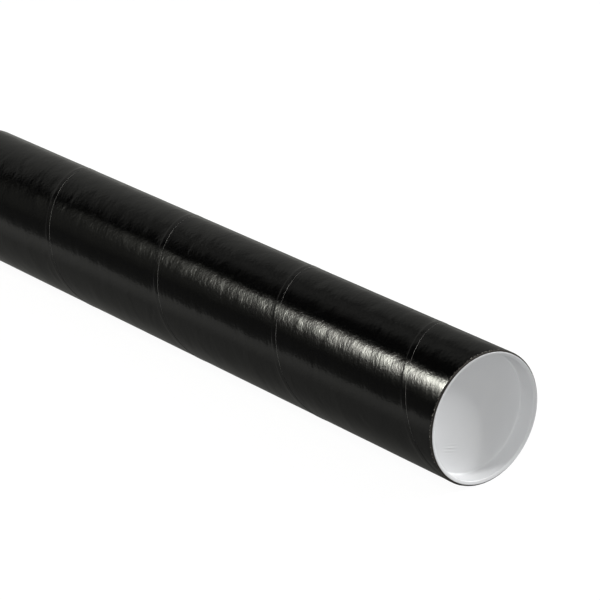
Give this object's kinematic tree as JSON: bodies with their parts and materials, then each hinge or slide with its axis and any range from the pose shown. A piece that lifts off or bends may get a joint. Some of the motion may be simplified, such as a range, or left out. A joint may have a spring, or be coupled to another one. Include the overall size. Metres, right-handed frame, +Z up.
{
  "type": "drawing tube",
  "caption": "Long spiral-wound board tube with a glossy black paper wrap and a white recessed plug cap pushed into each end, for rolled drawings.",
  "frame": {"origin": "on the surface that the tube lies on, under the middle of the tube", "axes": "+X along the tube towards near_cap, +Y across it, +Z up"},
  "size_m": [0.5106, 0.0802, 0.0803],
  "materials": {
    "board": "raw brown board",
    "wrap": "gloss coated black",
    "cap_plastic": "satin moulded white"
  },
  "bodies": {
    "tube": {"inner_ply": "board", "middle_ply": "board", "outer_ply": "board", "black_wrap": "wrap"},
    "near_cap": {"near_cap": "cap_plastic"},
    "far_cap": {"far_cap": "cap_plastic"}
  },
  "joints": [
    {"name": "near_cap_pull", "type": "slide", "parent": "tube", "child": "near_cap", "axis": [1, 0, 0], "range_m": [0, 0.12]},
    {"name": "far_cap_pull", "type": "slide", "parent": "tube", "child": "far_cap", "axis": [-1, 0, 0], "range_m": [0, 0.12]}
  ]
}
